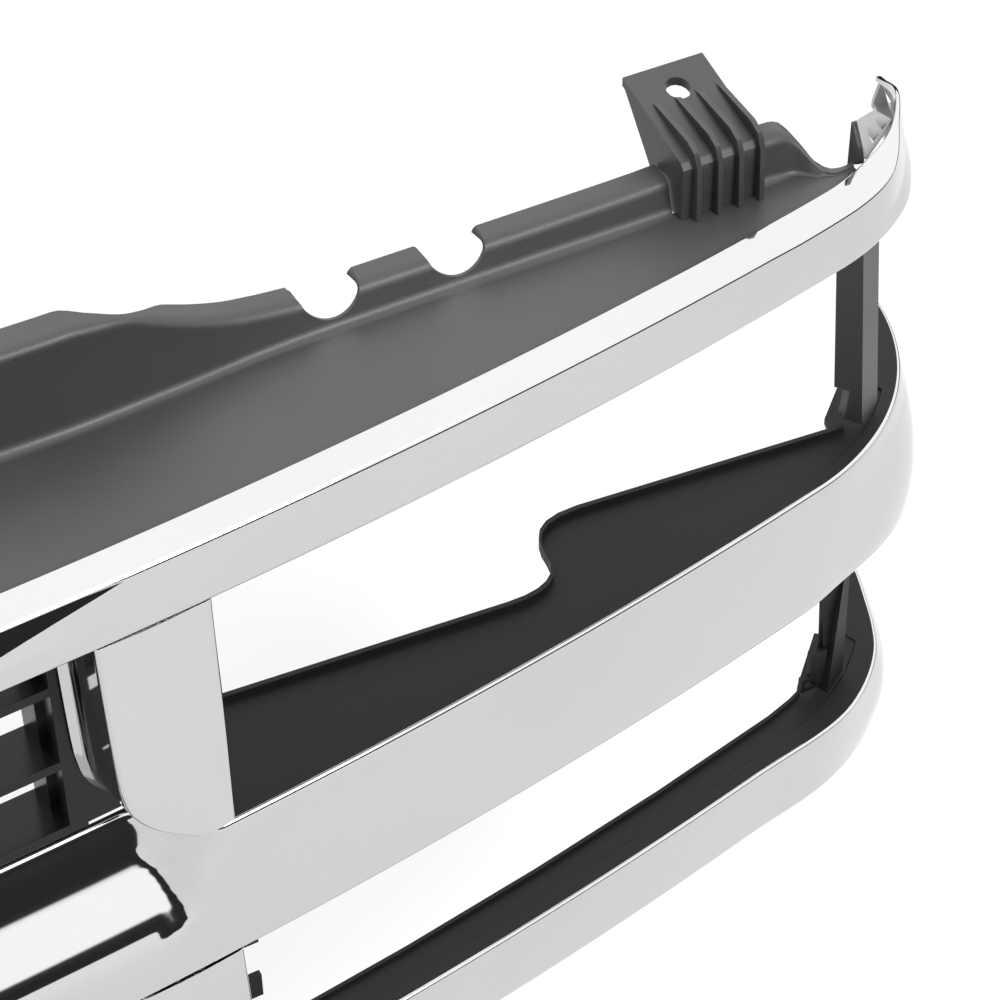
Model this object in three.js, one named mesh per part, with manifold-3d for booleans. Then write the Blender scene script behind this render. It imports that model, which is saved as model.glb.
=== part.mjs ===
// Full-width truck front grille: chrome bars and posts over a black carrier.
// Millimetres, X to the right, Y to the back, Z up. The grille is symmetric about X = 0.
// Heights are measured from the top edge of the middle bar while the pieces are built.

import Module from "manifold-3d";
import * as THREE from "three";
import { mergeVertices } from "three/addons/utils/BufferGeometryUtils.js";

const wasm = await Module();
wasm.setup();

// ---------------------------------------------------------------- driving dimensions

const GAP = 0.3; // clearance kept between touching pieces
const WALL = 3; // moulded wall thickness

// Front face in plan: tangent arcs [radius, length] outward from the centre line, then straight.
const FRONT_ARCS = [
  [5655, 436],
  [2670, 388.5],
  [135.6, 151],
];
const ARC_STEPS = [5, 5, 8];

// Stations where the wrapped ends of the bars stop
const UPPER_BAR_END = 970;
const MIDDLE_BAR_END = 979;
const LOWER_BAR_END = 966;

// Heights
const CREASE_Z = 154;
const PANEL_Z = 150;
const UPPER_BAR_BOTTOM = 122.5;
const MIDDLE_BAR_BOTTOM = -86;
const LOWER_BAR_TOP = -168;
const LOWER_BAR_BOTTOM = -218.5;

// Depths behind the front face
const BEVEL_DEPTH = 17.3;
const INSERT_DEPTH = 31;
const INSERT_BACK = 57;

// Stations along the front face
const COVE_FULL = 452; // the centre cove of the middle bar has its full depth inside this
const COVE_END = 496;
const GROOVE_FULL = 400;
const GROOVE_END = 470;
const GROOVE_DEPTH = 6;
const POST_INNER = 449;
const POST_OUTER = 499.5;

// Top panel
const PANEL_END = 859;
const GUSSET_TOP = 171;
const HEADLAMP_FLOOR_DROP = 1; // below the top edge of the middle bar
const HEADLAMP_FLOOR_SETBACK = 7.6; // behind the front face
const LAMP_SHELF_DROP = 0.8; // below the top edge of the lower bar
const LAMP_SHELF_SETBACK = 6.4;
const CORNER_SHELF_START = 846; // stations between which a shelf fills the wrapped corner
const CORNER_SHELF_END = 908;
const CORNER_SHELF_DEPTH = 28;
const NOTCH_X = [598, 656];
const NOTCH_RADIUS = 14;
const NOTCH_BOTTOM = 154;
const RISER_TOP = [
  [0, 192.5],
  [488, 192.5],
  [505, 189],
  [520, 184],
  [540, 175],
  [575, 166],
  [600, 164],
  [740, 164.5],
  [790, 168],
  [812, 168.5],
  [818, 167],
  [822, 163],
  [826, 156],
  [830, 152],
  [836, 151],
  [900, 151],
];
const RISER_Y = [
  [0, 111],
  [470, 111],
  [520, 114],
  [580, 118.3],
  [815, 118.3],
  [820, 117],
  [826, 111],
  [833, 105.5],
  [847, 106.8],
];
const FLANGE_DEPTH = [
  [0, 17],
  [486, 17],
  [498, 9],
  [508, 5],
  [517, 7],
  [527, 12],
  [818, 12],
  [824, 9],
  [830, 5],
  [836, 3.2],
  [847, 2.5],
];

// Mounting tab
const TAB_X = 777.5;
const TAB_WIDTH = 40;
const TAB_WALL_Y = 110;
const TAB_THICKNESS = 4;
const TAB_BEND_Z = 177;
const TAB_BACK_Y = 160;
const TAB_BACK_Z = 193;
const TAB_HOLE_Y = 147;
const TAB_HOLE_RADIUS = 5.75;
const TAB_RIB_THICKNESS = 2.4;
const TAB_RIB_OFFSETS = [-15, -4.5, 6, 16.5];

// Fasteners and badge
const SCREW_RADIUS = 1.8;
const SCREW_HEAD_RADIUS = 4.5;
const SCREW_HEAD_HEIGHT = 2.5;
const BOSS_RADIUS = 5;
const BADGE_WIDTH = 150;
const BADGE_HEIGHT = 46;
const BADGE_THICKNESS = 6;
const STUD_RADIUS = 2.5;
const STUD_X = 45;

// ---------------------------------------------------------------- front face in plan

function frontPoint(s) {
  const point = { x: 0, y: 0, heading: 0 };
  let rest = Math.abs(s);
  for (const [radius, length] of FRONT_ARCS) {
    const run = Math.min(rest, length);
    const turned = point.heading + run / radius;
    point.x += radius * (Math.sin(turned) - Math.sin(point.heading));
    point.y += radius * (Math.cos(point.heading) - Math.cos(turned));
    point.heading = turned;
    rest -= run;
  }
  point.x += rest * Math.cos(point.heading);
  point.y += rest * Math.sin(point.heading);
  return s < 0 ? { x: -point.x, y: point.y, heading: -point.heading } : point;
}

// A point at station s, a depth behind the front face and a height.
function place(s, depth, z) {
  const { x, y, heading } = frontPoint(s);
  return new THREE.Vector3(x - depth * Math.sin(heading), y + depth * Math.cos(heading), z);
}

// Every swept piece bends at the same stations, so neighbours keep an even gap.
function sharedStations() {
  const list = [0];
  let start = 0;
  FRONT_ARCS.forEach(([, length], arc) => {
    for (let step = 1; step <= ARC_STEPS[arc]; step++) {
      list.push(start + (length * step) / ARC_STEPS[arc]);
    }
    start += length;
  });
  return list;
}

const SHARED = sharedStations();
const BOTH_SIDES = [...SHARED.slice(1).map((s) => -s).reverse(), ...SHARED];

function stationsBetween(from, to, extra = []) {
  const low = Math.min(from, to);
  const high = Math.max(from, to);
  const inner = [...BOTH_SIDES, ...extra].filter((s) => s > low + 2 && s < high - 2);
  return [low, ...inner.sort((a, b) => a - b), high];
}

// ---------------------------------------------------------------- solids

function interpolate(table, x) {
  const at = Math.abs(x);
  const next = table.findIndex(([edge]) => edge >= at);
  if (next < 0) {
    return table[table.length - 1][1];
  }
  if (next === 0) {
    return table[0][1];
  }
  const [x0, v0] = table[next - 1];
  const [x1, v1] = table[next];
  return v0 + ((v1 - v0) * (at - x0)) / (x1 - x0);
}

function signedVolume(positions, index) {
  const corner = (i) => new THREE.Vector3().fromArray(positions, 3 * index[i]);
  let volume = 0;
  for (let i = 0; i < index.length; i += 3) {
    volume += corner(i).dot(corner(i + 1).cross(corner(i + 2)));
  }
  return volume;
}

function closedGeometry(positions, index) {
  if (signedVolume(positions, index) < 0) {
    index.reverse();
  }
  const geometry = new THREE.BufferGeometry();
  geometry.setAttribute("position", new THREE.Float32BufferAttribute(positions, 3));
  geometry.setIndex(index);
  return geometry;
}

// A closed solid through rings of points; each ring is the matching flat section, set in space.
function loft(sections, rings) {
  const count = rings[0].length;
  const positions = rings.flat().flatMap((point) => point.toArray());
  const index = [];
  for (let ring = 0; ring < rings.length - 1; ring++) {
    for (let i = 0; i < count; i++) {
      const a = ring * count + i;
      const b = ring * count + ((i + 1) % count);
      index.push(a, b, b + count, a, b + count, a + count);
    }
  }
  for (const end of [0, rings.length - 1]) {
    const outline = sections[end].map(([u, v]) => new THREE.Vector2(u, v));
    const direction = Math.sign(THREE.ShapeUtils.area(outline)) * (end === 0 ? -1 : 1);
    for (const face of THREE.ShapeUtils.triangulateShape(outline, [])) {
      const [a, b, c] = face.map((i) => end * count + i);
      index.push(...(faceArea(outline, face) * direction > 0 ? [a, b, c] : [a, c, b]));
    }
  }
  return closedGeometry(positions, index);
}

function faceArea(outline, [a, b, c]) {
  const ab = outline[b].clone().sub(outline[a]);
  return ab.cross(outline[c].clone().sub(outline[a]));
}

// Sweeps sectionAt(s), a closed list of [depth, height], along the front face.
function sweep(sectionAt, from, to, extra = []) {
  const stations = stationsBetween(from, to, extra);
  const sections = stations.map(sectionAt);
  const rings = sections.map((section, i) => section.map(([depth, z]) => place(stations[i], depth, z)));
  return loft(sections, rings);
}

function sweptBox(from, to, front, back, bottom, top) {
  const section = [
    [front, bottom],
    [back, bottom],
    [back, top],
    [front, top],
  ];
  return sweep(() => section, from, to);
}

// Gives an open path of [depth, height] a wall: the path, then its offset copy back to the start.
function shell(path, thickness) {
  const inner = path.map((point, i) => {
    const before = path[Math.max(i - 1, 0)];
    const after = path[Math.min(i + 1, path.length - 1)];
    const a = unitNormal(before, point) ?? unitNormal(point, after);
    const b = unitNormal(point, after) ?? a;
    const scale = thickness / (1 + a[0] * b[0] + a[1] * b[1]);
    return [point[0] + (a[0] + b[0]) * scale, point[1] + (a[1] + b[1]) * scale];
  });
  return [...path, ...inner.reverse()];
}

function unitNormal([u0, v0], [u1, v1]) {
  const length = Math.hypot(u1 - u0, v1 - v0);
  return length < 1e-6 ? null : [-(v1 - v0) / length, (u1 - u0) / length];
}

function toSolid(geometry) {
  const plain = geometry.clone();
  plain.deleteAttribute("normal");
  plain.deleteAttribute("uv");
  const merged = mergeVertices(plain, 1e-4);
  const vertProperties = new Float32Array(merged.attributes.position.array);
  const triVerts = new Uint32Array(merged.index.array);
  return new wasm.Manifold(new wasm.Mesh({ numProp: 3, vertProperties, triVerts }));
}

function toGeometry(solid) {
  const { vertProperties, triVerts } = solid.getMesh();
  const geometry = new THREE.BufferGeometry();
  geometry.setAttribute("position", new THREE.Float32BufferAttribute(vertProperties, 3));
  geometry.setIndex([...triVerts]);
  return geometry;
}

function join(geometries) {
  return toGeometry(geometries.map(toSolid).reduce((sum, solid) => sum.add(solid)));
}

function cut(geometry, tools) {
  return toGeometry(tools.map(toSolid).reduce((rest, tool) => rest.subtract(tool), toSolid(geometry)));
}

// A cylinder between two points.
function rod(start, end, radius, sides = 10) {
  const axis = end.clone().sub(start);
  const geometry = new THREE.CylinderGeometry(radius, radius, axis.length(), sides);
  const along = axis.clone().normalize();
  const turn = new THREE.Quaternion().setFromUnitVectors(new THREE.Vector3(0, 1, 0), along);
  geometry.applyQuaternion(turn);
  geometry.translate(...start.clone().add(end).multiplyScalar(0.5).toArray());
  return geometry;
}

function block(x0, x1, y0, y1, z0, z1) {
  const geometry = new THREE.BoxGeometry(x1 - x0, y1 - y0, z1 - z0);
  geometry.translate((x0 + x1) / 2, (y0 + y1) / 2, (z0 + z1) / 2);
  return geometry;
}

// A flat outline of [x, y] pairs raised from z0 to z1.
function slab(outline, z0, z1) {
  const shape = new THREE.Shape(outline.map(([x, y]) => new THREE.Vector2(x, y)));
  const geometry = new THREE.ExtrudeGeometry(shape, { depth: z1 - z0, bevelEnabled: false });
  geometry.translate(0, 0, z0);
  return geometry;
}

// A side outline of [y, z] pairs given a width from x0 to x1.
function sidePlate(outline, x0, x1) {
  const sections = [outline, outline];
  const rings = [x0, x1].map((x) => outline.map(([y, z]) => new THREE.Vector3(x, y, z)));
  return loft(sections, rings);
}

function mirrorX(geometry) {
  const mirrored = geometry.clone();
  mirrored.scale(-1, 1, 1);
  return closedGeometry([...mirrored.attributes.position.array], [...mirrored.index.array]);
}

function smoothStep(value, from, to) {
  return THREE.MathUtils.smoothstep(value, from, to);
}

function blend(a, b, weight) {
  return a.map((point, i) => point.map((value, k) => value + (b[i][k] - value) * weight));
}

// ---------------------------------------------------------------- chrome bars

// Round the corners the bars leave the common front face: the upper bar tucks in behind it,
// most at its crease, while the two lower bars swell out past it. [station, depth] pairs.
const CREASE_DEPTH = [
  [800, -1],
  [846, 1],
  [862, 2.8],
  [875, 6],
  [890, 9.8],
  [906, 12.6],
  [940, 13.6],
  [970, 13.2],
];
const BEVEL_BACK = [
  [865, 17.3],
  [890, 15.4],
  [906, 15.6],
  [970, 16.2],
];
const UPPER_FOOT_DEPTH = [
  [860, 1.8],
  [884, 2.2],
  [894, 3.2],
  [909, 5.2],
  [929, 7.2],
  [950, 7.8],
  [970, 7],
];
const LOWER_TOP_DEPTH = [
  [800, -3.5],
  [830, -5.2],
  [856, -7.4],
  [880, -7.2],
  [903, -5.6],
  [919, -2.8],
  [941, 0.6],
  [966, 1.6],
];
const SWELL_START = 850;
const SWELL_END = 932;

function cornerSwell(s) {
  return smoothStep(Math.abs(s), SWELL_START, SWELL_END);
}

function upperBarSection(s) {
  const groove = GROOVE_DEPTH * (1 - smoothStep(Math.abs(s), GROOVE_FULL, GROOVE_END));
  const top = interpolate(CREASE_DEPTH, s);
  const foot = interpolate(UPPER_FOOT_DEPTH, s);
  const back = interpolate(BEVEL_BACK, s);
  const rise = (CREASE_Z - UPPER_BAR_BOTTOM) / 2;
  const path = [
    [Math.max(back, top + 2.4), 152.7],
    [top + 1.2, CREASE_Z],
    [top, CREASE_Z - 1],
    [top + (foot - top) * 0.2 + groove, 147],
    [top + (foot - top) * 0.5, UPPER_BAR_BOTTOM + rise],
    [foot - 0.2, UPPER_BAR_BOTTOM + 1.5],
    [foot + 1, UPPER_BAR_BOTTOM - 0.2],
    [foot + 10, UPPER_BAR_BOTTOM - 0.2],
  ];
  return shell(path, WALL);
}

function upperBar() {
  const grooveEnds = [-GROOVE_END, -GROOVE_FULL, GROOVE_FULL, GROOVE_END];
  const bar = sweep(upperBarSection, -UPPER_BAR_END, UPPER_BAR_END, grooveEnds);
  const foot = interpolate(UPPER_FOOT_DEPTH, UPPER_BAR_END);
  const endWall = () => [
    [foot + 1, UPPER_BAR_BOTTOM],
    [foot + 10.5, UPPER_BAR_BOTTOM],
    [foot + 10, UPPER_BAR_BOTTOM + 4],
    [foot + 6, CREASE_Z - 16],
    [foot + 1, CREASE_Z - 16],
  ];
  const ends = [-1, 1].map((side) =>
    sweep(endWall, side * (UPPER_BAR_END - WALL), side * UPPER_BAR_END),
  );
  // The wrap ends in a fin: its top edge falls from the bevel to a tip at mid height.
  const tip = place(UPPER_BAR_END, 0, 0);
  const tipZ = (CREASE_Z + UPPER_BAR_BOTTOM) / 2;
  const fin = sidePlate(
    [
      [tip.y - 36, CREASE_Z + 20],
      [tip.y + 40, CREASE_Z + 20],
      [tip.y + 40, tipZ],
      [tip.y, tipZ],
      [tip.y - 36, CREASE_Z + 2],
    ],
    tip.x - 60,
    tip.x + 20,
  );
  return cut(join([bar, ...ends]), [fin, mirrorX(fin)]);
}

const MIDDLE_SIDE_PATH = [
  [7, 0],
  [0.8, 0],
  [0, -1.5],
  [0.9, -20],
  [1.9, -40],
  [2.9, -57],
  [3.5, -70],
  [4.7, -84.5],
  [6, MIDDLE_BAR_BOTTOM],
  [14, MIDDLE_BAR_BOTTOM],
];
const MIDDLE_COVE_PATH = [
  [36, 0],
  [30.5, 0],
  [29, -1.5],
  [24, -17],
  [16, -35],
  [3.4, -57],
  [3.5, -70],
  [4.7, -84.5],
  [6, MIDDLE_BAR_BOTTOM],
  [14, MIDDLE_BAR_BOTTOM],
];

const MIDDLE_CORNER_PATH = [
  [7, 0],
  [0.3, 0],
  [-0.8, -1.5],
  [-6, -20],
  [-10.4, -38],
  [-12.6, -54],
  [-13.2, -70],
  [-12, -84.5],
  [-10.6, MIDDLE_BAR_BOTTOM],
  [-2, MIDDLE_BAR_BOTTOM],
];

function middleBarSection(s) {
  const cove = 1 - smoothStep(Math.abs(s), COVE_FULL, COVE_END);
  const front = blend(MIDDLE_SIDE_PATH, MIDDLE_COVE_PATH, cove);
  return shell(blend(front, MIDDLE_CORNER_PATH, cornerSwell(s)), WALL);
}

function middleBar() {
  const end = MIDDLE_BAR_END;
  const turns = [COVE_FULL, COVE_FULL + 14, COVE_END - 14, COVE_END];
  const bar = sweep(middleBarSection, -end, end, [...turns.map((s) => -s), ...turns]);
  return cut(bar, [-STUD_X, STUD_X].map((x) => studRod(x, STUD_RADIUS + 0.6, -10, 30)));
}

function lowerBarSection(s) {
  const top = interpolate(LOWER_TOP_DEPTH, s);
  const swell = cornerSwell(s);
  const path = [
    [top + 9.5, LOWER_BAR_TOP],
    [top + 0.7, LOWER_BAR_TOP],
    [top, LOWER_BAR_TOP - 1.2],
    [top + 1.2 - 7.5 * swell, -184],
    [top + 2.5 - 11 * swell, -198],
    [top + 3.6 - 10 * swell, -210],
    [top + 4.2 - 8.6 * swell, LOWER_BAR_BOTTOM + 1.4],
    [top + 5.6 - 8.6 * swell, LOWER_BAR_BOTTOM],
    [top + 15 - 9 * swell, LOWER_BAR_BOTTOM],
  ];
  return shell(path, WALL);
}

function lowerBar() {
  return sweep(lowerBarSection, -LOWER_BAR_END, LOWER_BAR_END);
}

// ---------------------------------------------------------------- chrome posts

// A post is a channel, open at the back: sections of [station, depth] stacked in height.
function postSolid(side, levels, bosses) {
  const sections = levels.map(({ inner, outer, front, back, outerBack }) =>
    shell(
      [
        [outer, outerBack],
        [outer, front + 3.5],
        [outer - 3, front],
        [inner + 2.5, front],
        [inner, front + 2.5],
        [inner, back],
      ],
      -WALL,
    ),
  );
  const rings = sections.map((section, i) =>
    section.map(([s, depth]) => place(side * s, depth, levels[i].z)),
  );
  const channel = loft(sections, rings);
  const bossRods = bosses.map(([s, z]) => {
    const front = levels[0].front + WALL - 1;
    return rod(place(side * s, front, z), place(side * s, INSERT_DEPTH - GAP - 1, z), BOSS_RADIUS);
  });
  const pilots = bosses.map(([s, z]) =>
    rod(place(side * s, 12, z), place(side * s, INSERT_DEPTH + 5, z), SCREW_RADIUS + GAP),
  );
  return cut(join([channel, ...bossRods]), pilots);
}

const UPPER_BOSSES = [
  [474, 28],
  [474, 98],
];
const LOWER_BOSSES = [
  [474, -106],
  [474, -149],
];
const POST_BACK = INSERT_DEPTH - GAP - 1;

function upperPost(side) {
  const common = { outer: POST_OUTER, outerBack: 13, back: POST_BACK };
  return postSolid(
    side,
    [
      { ...common, z: GAP, inner: 458, front: 0.3 },
      { ...common, z: 33, inner: POST_INNER + 3.5, front: 0 },
      { ...common, z: UPPER_BAR_BOTTOM - GAP, inner: POST_INNER, front: 2.2 },
    ],
    UPPER_BOSSES,
  );
}

function lowerPost(side) {
  const common = { inner: POST_INNER, outer: POST_OUTER, outerBack: 13, back: POST_BACK };
  return postSolid(
    side,
    [
      { ...common, z: LOWER_BAR_TOP + GAP, front: -2.4 },
      { ...common, z: MIDDLE_BAR_BOTTOM - GAP, front: 6 },
    ],
    LOWER_BOSSES,
  );
}

// ---------------------------------------------------------------- black inserts

// A slatted frame between the posts; its side flanges are screwed to the bosses of the posts.
function insert(bottom, top, slats, slatThickness, bosses) {
  const half = POST_INNER - 1;
  const frame = sweptBox(-half, half, INSERT_DEPTH, INSERT_BACK, bottom, top);
  const flangeTop = Math.min(top, UPPER_BAR_BOTTOM - 2);
  const flange = sweptBox(-490, 490, INSERT_DEPTH, INSERT_DEPTH + WALL, bottom + 2, flangeTop - 2);
  const rows = [];
  const edges = [bottom + 5, ...slats, top - 5];
  for (let row = 0; row < edges.length - 1; row++) {
    const low = edges[row] + (row > 0 ? slatThickness : 0);
    rows.push([low, edges[row + 1]]);
  }
  const windows = rows.flatMap(([low, high]) => windowTools(low, high, half - 8));
  const holes = bosses.flatMap(([s, z]) =>
    [-1, 1].map((side) =>
      rod(place(side * s, INSERT_DEPTH - 5, z), place(side * s, INSERT_DEPTH + 8, z), SCREW_RADIUS + 0.6),
    ),
  );
  return cut(join([frame, flange]), [...windows, ...holes]);
}

// A window is open over its whole length in front; thin ribs divide it at the back.
const RIB_STATIONS = [-220, 0, 220];
const RIB_FRONT = 42;

function windowTools(low, high, half) {
  const front = sweptBox(-half, half, INSERT_DEPTH - 3, RIB_FRONT, low, high);
  const edges = [-half + 3, ...RIB_STATIONS, half - 3];
  const bays = edges.slice(1).map((edge, i) => {
    const from = edges[i] + (i > 0 ? WALL / 2 : 0);
    const to = edge - (i < RIB_STATIONS.length ? WALL / 2 : 0);
    return sweptBox(from, to, RIB_FRONT - 1, INSERT_BACK + 3, low, high);
  });
  return [front, ...bays];
}

// ---------------------------------------------------------------- black carrier

function panelSection(x, frontY) {
  const riser = interpolate(RISER_Y, x);
  const top = interpolate(RISER_TOP, x);
  const flange = interpolate(FLANGE_DEPTH, x);
  return [
    [frontY, PANEL_Z - WALL],
    [frontY, PANEL_Z],
    [Math.max(riser - 3, frontY + 0.2), PANEL_Z],
    [riser, PANEL_Z + 1],
    [riser + 1.5, top],
    [riser + flange, top + 1],
    [riser + flange, top - 2],
    [riser + 4.5, top - 3.2],
    [riser + 3, PANEL_Z - WALL],
  ];
}

function topPanel() {
  const extra = [488, 498, 508, 517, 527, 540, 580, 600, 740, 800, 812, 818, 822, 826, 831, 838, 852];
  const stations = stationsBetween(-PANEL_END, PANEL_END, [...extra, ...extra.map((s) => -s)]);
  const kept = stations.filter((s, i) => i === 0 || s - stations[i - 1] > 1);
  const fronts = kept.map((s) => place(s, BEVEL_DEPTH + 0.5, 0));
  const sections = fronts.map(({ x, y }) => panelSection(x, y));
  const rings = sections.map((section, i) =>
    section.map(([y, z]) => new THREE.Vector3(fronts[i].x, y, z)),
  );
  const notchZ = NOTCH_BOTTOM + NOTCH_RADIUS;
  const notches = NOTCH_X.flatMap((x) => [
    rod(new THREE.Vector3(x, 105, notchZ), new THREE.Vector3(x, 150, notchZ), NOTCH_RADIUS, 20),
    block(x - NOTCH_RADIUS, x + NOTCH_RADIUS, 105, 150, notchZ, notchZ + 30),
  ]);
  const tabSeat = block(
    TAB_X - TAB_WIDTH / 2 - 1,
    TAB_X + TAB_WIDTH / 2 + 1,
    TAB_WALL_Y,
    140,
    PANEL_Z,
    200,
  );
  const tools = [...notches, tabSeat];
  const walls = [gussetWall(), mirrorX(gussetWall())];
  return cut(join([loft(sections, rings), ...walls]), [...tools, ...tools.map(mirrorX)]);
}

function mountingTab() {
  const foot = PANEL_Z + GAP;
  const slope = (TAB_BACK_Z - TAB_BEND_Z) / (TAB_BACK_Y - TAB_WALL_Y);
  const back = TAB_WALL_Y + TAB_THICKNESS;
  const left = TAB_X - TAB_WIDTH / 2;
  const right = TAB_X + TAB_WIDTH / 2;
  const plate = sidePlate(
    [
      [TAB_WALL_Y, foot],
      [back, foot],
      [back, TAB_BEND_Z - 3],
      [TAB_BACK_Y, TAB_BACK_Z - TAB_THICKNESS],
      [TAB_BACK_Y, TAB_BACK_Z],
      [TAB_WALL_Y + 2, TAB_BEND_Z + 2 * slope],
      [TAB_WALL_Y, TAB_BEND_Z - 2],
    ],
    left,
    right,
  );
  const rib = [
    [TAB_WALL_Y - 4.5, foot],
    [TAB_WALL_Y + 2, foot],
    [TAB_WALL_Y + 2, TAB_BEND_Z - 2],
    [TAB_WALL_Y + 36, TAB_BEND_Z + 36 * slope - 1],
    [TAB_WALL_Y + 30, TAB_BEND_Z + 30 * slope + 1.5],
    [TAB_WALL_Y + 6, TAB_BEND_Z + 8],
    [TAB_WALL_Y, TAB_BEND_Z + 5],
    [TAB_WALL_Y - 3, TAB_BEND_Z - 2],
  ];
  const ribs = TAB_RIB_OFFSETS.map((x) => sidePlate(rib, TAB_X + x, TAB_X + x + TAB_RIB_THICKNESS));
  const web = [
    [TAB_WALL_Y + 2, foot],
    [back + 12, foot],
    [TAB_BACK_Y, TAB_BACK_Z - 2],
    [TAB_WALL_Y + 2, TAB_BEND_Z - 2],
  ];
  const webs = [left, right - TAB_RIB_THICKNESS].map((x) => sidePlate(web, x, x + TAB_RIB_THICKNESS));
  const hole = rod(
    new THREE.Vector3(TAB_X, TAB_HOLE_Y, TAB_BEND_Z - 10),
    new THREE.Vector3(TAB_X, TAB_HOLE_Y, TAB_BACK_Z + 20),
    TAB_HOLE_RADIUS,
    16,
  );
  return cut(join([plate, ...ribs, ...webs]), [hole]);
}

// The front edge of a shelf follows the front face; the back edge is given as [x, y] pairs.
function shelfOutline(from, to, depth, backEdge) {
  const front = stationsBetween(from, to).map((s) => {
    const { x, y } = place(s, depth, 0);
    return [x, y];
  });
  return [...front, ...backEdge];
}

// A raised rim of the given width inside an edge of [x, y] pairs.
function rimOutline(edge, width) {
  return [...edge, ...[...edge].reverse().map(([x, y]) => [x, y - width])];
}

// The part of a shelf that fills the wrapped corner, under the foot of the pillar.
function cornerOutline(depth, inner) {
  const front = stationsBetween(CORNER_SHELF_START, CORNER_SHELF_END).map((s) => place(s, depth, 0));
  const rear = place(CORNER_SHELF_END, CORNER_SHELF_DEPTH, 0);
  return [...front, rear].map(({ x, y }) => [x, y]).concat([inner]);
}

function headlampFloor() {
  const point = (x, y) => new THREE.Vector2(x, y);
  const step = new THREE.CurvePath();
  const bend = (...corners) => step.add(new THREE.CubicBezierCurve(...corners));
  bend(point(655, 77.6), point(673, 76.2), point(683.5, 82), point(684.5, 95));
  bend(point(684.5, 95), point(685.5, 108), point(690, 118.8), point(713, 117.5));
  const backEdge = [
    [850, 105.5],
    ...step.getPoints(6).reverse().map(({ x, y }) => [x, y]),
    [503, 89.8],
  ];
  const top = -HEADLAMP_FLOOR_DROP;
  const floor = slab(shelfOutline(503, 857, HEADLAMP_FLOOR_SETBACK, backEdge), top - WALL, top);
  const rim = slab(rimOutline(backEdge, 2.5), top - 1, 2.5);
  const corner = slab(cornerOutline(HEADLAMP_FLOOR_SETBACK, [848, 116]), top - WALL, top);
  return join([floor, rim, corner]);
}

function lampShelf() {
  const backEdge = stationsBetween(503, 853)
    .reverse()
    .map((s) => place(s, 21, 0))
    .map(({ x, y }) => [x, y]);
  const top = LOWER_BAR_TOP - LAMP_SHELF_DROP;
  const floor = slab(shelfOutline(503, 853, LAMP_SHELF_SETBACK, backEdge), top - WALL, top);
  const rim = slab(rimOutline(backEdge, 2), LOWER_BAR_TOP - 2, LOWER_BAR_TOP + 1.5);
  const corner = slab(cornerOutline(LAMP_SHELF_SETBACK, [840, 107]), top - WALL, top);
  return join([floor, rim, corner]);
}

// Outer pillars: bent plates between two bars, [x, y] outlines at the foot and at the head.
function pillar(foot, head, footZ, headZ) {
  const rings = [
    foot.map(([x, y]) => new THREE.Vector3(x, y, footZ)),
    head.map(([x, y]) => new THREE.Vector3(x, y, headZ)),
  ];
  return loft([foot, head], rings);
}

function upperPillar() {
  const foot = [
    [850, 112],
    [858, 100],
    [873, 109],
  ];
  const head = [
    [840.5, 111],
    [848.5, 102],
    [864, 112],
  ];
  const channel = pillar(shell(foot, WALL), shell(head, WALL), 2.9, UPPER_BAR_BOTTOM - 0.6);
  const chamfer = sidePlate(
    [
      [90, 21],
      [130, 21],
      [130, -2],
      [90, -2],
    ],
    835,
    853,
  );
  return cut(channel, [chamfer]);
}

function lowerPillar() {
  const foot = [
    [846, 101.5],
    [849, 93.5],
    [865, 103],
  ];
  const head = [
    [847, 103],
    [863, 106],
    [875, 119],
  ];
  const footZ = LOWER_BAR_TOP + 1.8;
  const channel = pillar(shell(foot, WALL), shell(head, WALL), footZ, MIDDLE_BAR_BOTTOM - 0.5);
  const catches = [
    block(836, 848.6, 98.1, 101.3, footZ + 2, -155.3),
    block(841, 850.4, 98.7, 102.4, -157.6, -140),
  ];
  const slot = block(838.2, 843.8, 92, 106, -161.7, -158.4);
  return cut(join([channel, ...catches]), [slot]);
}

// Black rails behind the outer edges of the posts, with catch tabs for the lamps.
function rail(bottom, top, tabs) {
  const section = [
    [POST_OUTER - 14, 16],
    [POST_OUTER + 3.5, 16],
    [POST_OUTER + 3.5, 19],
    [POST_OUTER - 14, 19],
  ];
  const rings = [bottom, top].map((z) => section.map(([s, depth]) => place(s, depth, z)));
  const strip = loft([section, section], rings);
  const catches = tabs.map(([low, high]) => {
    const near = place(POST_OUTER, 16, 0);
    return block(near.x - 4, near.x + 11.5, near.y, near.y + 3, low, high);
  });
  return join([strip, ...catches]);
}

// The corner between the top panel and the wrap of the upper bar: corner points in plan.
const GUSSET = {
  frontLeft: [851.4, 107.9],
  frontRight: [877.1, 125.2],
  rearLeft: [845.8, 110.8],
  rearRight: [863, 121],
};
const GUSSET_FOOT = PANEL_Z + 0.5;

// Black side wall of the corner, standing on the end of the top panel.
function gussetWall() {
  const [frontX, frontY] = GUSSET.frontLeft;
  const [rearX, rearY] = GUSSET.rearLeft;
  const outline = [
    [frontX - 0.6, frontY, PANEL_Z - WALL],
    [rearX - GAP, rearY, PANEL_Z - WALL],
    [rearX - GAP, rearY, GUSSET_TOP],
    [rearX - GAP, rearY - 0.6, GUSSET_TOP],
    [frontX - 0.6, frontY, PANEL_Z + 1],
  ];
  const base = slab(
    [
      [836, frontY - 2.4],
      [frontX - 2.4, frontY - 0.3],
      [rearX - GAP, rearY],
      [838, rearY - 2.2],
    ],
    PANEL_Z - WALL,
    PANEL_Z,
  );
  const section = outline.map(([, y, z]) => [y, z]);
  const rings = [-2.4, 0].map((shift) => outline.map(([x, y, z]) => new THREE.Vector3(x + shift, y, z)));
  return join([loft([section, section], rings), base]);
}

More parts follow.
